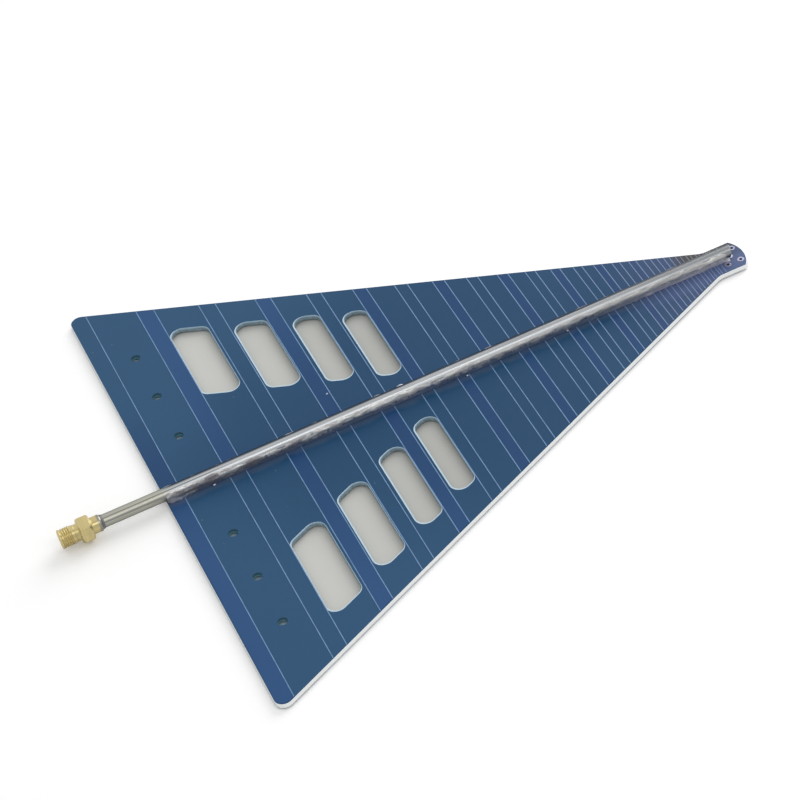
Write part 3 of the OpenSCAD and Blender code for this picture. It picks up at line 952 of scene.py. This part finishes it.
class ANTENNA_OT_drops(bpy.types.Operator):
    """Adds the drops of solder that stand out beside the seam"""

    bl_idname = "antenna.drops"
    bl_label = "Solder Drops"

    def execute(self, context):
        colours = context.scene.antenna_colours
        finish = metal_finish("drop_solder", colours.drop, 0.35, False)
        for name, spot, size in DROPS:
            start_fresh()
            bpy.ops.mesh.primitive_uv_sphere_add(
                segments=24, ring_count=16, radius=1, location=Vector(spot) * MM,
                scale=Vector(size) * MM)
            piece = named(name)
            settle()
            ripple(piece, name, 0.5 * MM, 0.16 * MM)
            tidy_mesh(80)
            seat(piece, finish, "solder")
        return {"FINISHED"}


def turned(name, points):
    """A closed outline, given as places along and away from the X axis, turned round that axis."""
    piece = ring_of(name, [(along, 0, away) for along, away in points])
    edit_all()
    bpy.ops.mesh.spin(steps=96, angle=2 * math.pi, center=(0, 0, 0), axis=(1, 0, 0))
    tidy_mesh(30)
    return piece


# The thread's ridge: place in pitches and share of the height
RIDGE = ((-0.48, 0), (-0.16, 0.85), (-0.08, 1), (0.08, 1), (0.16, 0.85), (0.48, 0))


class ANTENNA_OT_jack(bpy.types.Operator):
    """Makes the brass jack with its helical thread, hexagon and collar"""

    bl_idname = "antenna.jack"
    bl_label = "Jack Body"

    def execute(self, context):
        sizes = context.scene.antenna_sizes
        colours = context.scene.antenna_colours
        body = self.body(sizes)
        thread = self.thread(sizes)
        hexagon = self.hexagon(sizes)
        start_fresh()
        for piece in (body, thread, hexagon):
            piece.select_set(True)
        bpy.context.view_layer.objects.active = body
        bpy.ops.object.join()
        finish = metal_finish("turned_brass", colours.brass, 0.22, True, shade(colours.bare, 0.6))
        seat(body, finish, "brass", "jack_body")
        return {"FINISHED"}

    def body(self, sizes):
        """Barrel, core of the hexagon and collar, bored through, with rounded edges."""
        front, end = JACK_LOW.x, JACK_HIGH.x
        crest, relief, collar, mouth, bore = (
            sizes.crest, sizes.relief, sizes.collar, sizes.mouth, sizes.bore)
        root, core = crest - sizes.depth, relief + 0.2 * MM
        nose = front + sizes.nose
        groove = nose + THREAD_TURNS * sizes.pitch
        start = front + sizes.barrel
        stop = start + sizes.hexagon
        piece = turned("jack_shell", (
            (front, mouth + 0.15 * MM), (front, crest - 0.3 * MM), (front + 0.3 * MM, crest),
            (nose - 0.1 * MM, crest), (nose + 0.1 * MM, root), (groove, root),
            (groove + 0.2 * MM, relief), (start - 0.2 * MM, relief), (start, core), (stop, core),
            (stop + 0.25 * MM, collar), (end - 0.5 * MM, collar), (end, collar - 0.4 * MM),
            (end, bore), (0, bore), (0, mouth), (front + 0.15 * MM, mouth)))
        round_edges(piece, 0.05 * MM, 25)
        smooth(30)
        return piece

    def thread(self, sizes):
        """A helical ridge round the barrel, sunk into it at both ends."""
        root = sizes.crest - sizes.depth - 0.06 * MM
        start = JACK_LOW.x + sizes.nose + 0.1 * MM
        piece = ring_of("jack_thread", [
            (start + part * sizes.pitch, 0, root + rise * (sizes.crest - root)) for part, rise in RIDGE])
        apply_modifier(piece, "SCREW", axis="X", angle=2 * math.pi, screw_offset=sizes.pitch,
                       iterations=THREAD_TURNS - 1, steps=STEPS_PER_TURN,
                       render_steps=STEPS_PER_TURN, use_merge_vertices=False)
        final = (THREAD_TURNS - 1) * STEPS_PER_TURN
        for vertex in piece.data.vertices:
            radius = math.hypot(vertex.co.y, vertex.co.z)
            step = vertex.index // len(RIDGE)
            depth = min(ease(step / FADE_STEPS), ease((final - step) / FADE_STEPS))
            vertex.co.yz *= (root + (radius - root) * max(depth, LEAST_DEPTH)) / radius
        bpy.ops.object.mode_set(mode="EDIT")
        count, last = len(RIDGE), len(piece.data.vertices)
        for low, high in ((0, count), (last - count, last)):
            pick(piece, lambda v: low <= v.index < high)
            bpy.ops.mesh.edge_face_add()
        tidy_mesh(50)
        return piece

    def hexagon(self, sizes):
        """The hexagon, its ends chamfered on a cone and its edges rounded."""
        start = JACK_LOW.x + sizes.barrel
        stop = start + sizes.hexagon
        corner, face = sizes.flats / 2 / math.cos(math.radians(30)), sizes.hexagon_face
        slope = (corner - face) * math.tan(math.radians(40))
        cone = turned("chamfer_cone", (
            (start, 0), (start, face), (start + slope, corner), (stop - slope, corner), (stop, face),
            (stop, 0)))
        start_fresh()
        bpy.ops.mesh.primitive_cylinder_add(
            vertices=6, radius=corner, depth=sizes.hexagon, location=((start + stop) / 2, 0, 0),
            rotation=(0, math.pi / 2, 0))
        piece = named("jack_hexagon")
        settle()
        piece.rotation_euler.x = sizes.hexagon_turn + math.pi / 2
        settle()
        apply_modifier(piece, "BOOLEAN", object=cone, operation="INTERSECT", solver="EXACT")
        bpy.data.objects.remove(cone)
        round_edges(piece, 0.1 * MM, 25)
        tidy_mesh(25)
        return piece


class ANTENNA_OT_metal_finish(bpy.types.Operator):
    """Gives the small metal and plastic pieces their finishes"""

    bl_idname = "antenna.metal_finish"
    bl_label = "Finish the Small Pieces"

    def execute(self, context):
        colours = context.scene.antenna_colours
        refinish(metal_finish("gilt_contact", colours.gilt, 0.2, True), "jack_contact")
        refinish(metal_finish("silvered_wire", colours.wire, 0.25, True), "centre_conductor")
        refinish(solder_finish("ring_solder", colours, shade(colours.solder, 0.25), 0.3), "jack_solder")
        refinish(metal_finish("feed_solder", colours.drop, 0.4, False), "feed_joint")
        refinish(plastic_finish(colours.plastic), "coax_core", "jack_insulator")
        return {"FINISHED"}


class ANTENNA_OT_stage(bpy.types.Operator):
    """Sets the floor, the soft lights and the camera"""

    bl_idname = "antenna.stage"
    bl_label = "Stage"

    def execute(self, context):
        stage = context.scene.antenna_stage
        colours = context.scene.antenna_colours
        self.floor(colours)
        self.sky(context.scene, stage)
        self.lamp("key_light", KEY_PLACE, KEY_SIZE, stage.key_power)
        self.lamp("fill_light", FILL_PLACE, FILL_SIZE, stage.fill_power)
        self.camera(context.scene, stage)
        context.scene.view_settings.view_transform = "Standard"
        return {"FINISHED"}

    def floor(self, colours):
        """Pale floor, with grey paper under the board, partly the table's tone and partly painted shade.
        """
        start_fresh()
        bpy.ops.mesh.primitive_plane_add(size=FLOOR_SIZE, location=(FLOOR_X, 0, CAD_BOX[0].z))
        piece = named("floor")
        settle()
        finish, tree, shader = new_finish("pale_floor")
        spot = place(tree)
        x, y = parts_of(tree, spot)[:2]
        edge = times(tree, minus(tree, APEX_X, x), EDGE_SLOPE)
        inside = spread(tree, minus(tree, edge, unsigned(tree, y)), 3 * MM, 7 * MM)
        front = spread(tree, x, BOARD_LOW.x + 3 * MM, BOARD_LOW.x + 7 * MM)
        under = times(tree, inside, front)
        mottle = cloudy(tree, spot, 60, 3)
        paper = blend(tree, mottle, shade(colours.paper, 0.97), shade(colours.paper, 1.03))
        # Painted shade: the paper darkens towards the tip.
        paper = blend(tree, spread(tree, x, 60 * MM, 130 * MM, 0, 0.2), paper, (0, 0, 0))
        # Painted shade: under the row of holes the paper is darker and bluer.
        paper = blend(tree, hole_row(tree, x, 5 * MM, 3 * MM), paper, colours.hole_paper_shade)
        tree.links.new(blend(tree, under, colours.floor, paper), shader.inputs["Base Color"])
        shader.inputs["Roughness"].default_value = 0.9
        shader.inputs["Specular IOR Level"].default_value = 0.0
        shader.inputs["Emission Color"].default_value = (1, 1, 1, 1)
        seen = tree.nodes.new("ShaderNodeLightPath").outputs["Is Camera Ray"]
        bare = times(tree, seen, minus(tree, 1.0, under))
        away = plus(tree, unsigned(tree, x), unsigned(tree, y))
        glow = times(tree, bare, spread(tree, away, 0.4, 2.2, 0.08, 0.35))
        tree.links.new(glow, shader.inputs["Emission Strength"])
        piece.data.materials.append(finish)

    def sky(self, scene, stage):
        """Even light from all round, white where it is seen or mirrored."""
        world = bpy.data.worlds.new("studio")
        scene.world = world
        world.use_nodes = True
        tree = world.node_tree
        tree.nodes.clear()
        path = tree.nodes.new("ShaderNodeLightPath")
        seen = plus(tree, path.outputs["Is Camera Ray"], path.outputs["Is Glossy Ray"])
        seen = plus(tree, seen, path.outputs["Is Transmission Ray"])
        seen = math_node(tree, "MINIMUM", seen, 1.0)
        strength = put(tree, "ShaderNodeMapRange",
                       {"Value": seen, "To Min": stage.sky, "To Max": 1.0})
        light = put(tree, "ShaderNodeBackground", {"Color": (1, 1, 1), "Strength": strength})
        out = tree.nodes.new("ShaderNodeOutputWorld")
        tree.links.new(light, out.inputs["Surface"])

    def lamp(self, name, spot, size, power):
        """One large soft lamp, turned to the object."""
        start_fresh()
        bpy.ops.object.light_add(type="AREA", location=spot)
        lamp = named(name)
        lamp.data.shape = "RECTANGLE"
        lamp.data.size, lamp.data.size_y = size
        lamp.data.energy = power
        lamp.rotation_euler = (Vector(LAMP_TARGET) - Vector(spot)).to_track_quat("-Z", "Y").to_euler()

    def camera(self, scene, stage):
        """Camera at the photograph's angle."""
        start_fresh()
        bpy.ops.object.camera_add(location=stage.eye)
        camera = named("camera")
        camera.data.sensor_width = 36
        camera.data.lens = stage.lens
        camera.data.clip_start, camera.data.clip_end = 0.01, 20
        look = (Vector(stage.aim) - Vector(stage.eye)).to_track_quat("-Z", "Y").to_matrix()
        camera.rotation_euler = (look @ Matrix.Rotation(-stage.roll, 3, "Z")).to_euler()
        scene.camera = camera


class VIEW3D_PT_antenna(bpy.types.Panel):
    """Sidebar panel with the antenna's values and operators"""

    bl_label = "Antenna"
    bl_space_type = "VIEW_3D"
    bl_region_type = "UI"
    bl_category = "Antenna"

    def draw(self, context):
        for group in GROUPS:
            values = getattr(context.scene, group)
            box = self.layout.box()
            for key in values.bl_rna.properties.keys():
                if key not in ("rna_type", "name"):
                    box.prop(values, key)
        for operator in OPERATORS:
            self.layout.operator(operator.bl_idname)


GROUPS = {
    "antenna_sizes": AntennaSizes, "antenna_colours": AntennaColours, "antenna_stage": AntennaStage,
}
OPERATORS = (
    ANTENNA_OT_board_finish, ANTENNA_OT_slot_edges, ANTENNA_OT_tube, ANTENNA_OT_seam,
    ANTENNA_OT_drops, ANTENNA_OT_jack, ANTENNA_OT_metal_finish, ANTENNA_OT_stage,
)


def register():
    for name, group in GROUPS.items():
        bpy.utils.register_class(group)
        setattr(bpy.types.Scene, name, PointerProperty(type=group))
    for made in (*OPERATORS, VIEW3D_PT_antenna):
        bpy.utils.register_class(made)


def unregister():
    for made in reversed((*OPERATORS, VIEW3D_PT_antenna)):
        bpy.utils.unregister_class(made)
    for name, group in GROUPS.items():
        delattr(bpy.types.Scene, name)
        bpy.utils.unregister_class(group)


def main():
    register()
    bpy.ops.antenna.board_finish()
    bpy.ops.antenna.slot_edges()
    bpy.ops.antenna.tube()
    bpy.ops.antenna.seam()
    bpy.ops.antenna.drops()
    bpy.ops.antenna.jack()
    bpy.ops.antenna.metal_finish()
    bpy.ops.antenna.stage()


if __name__ == "__main__":
    main()
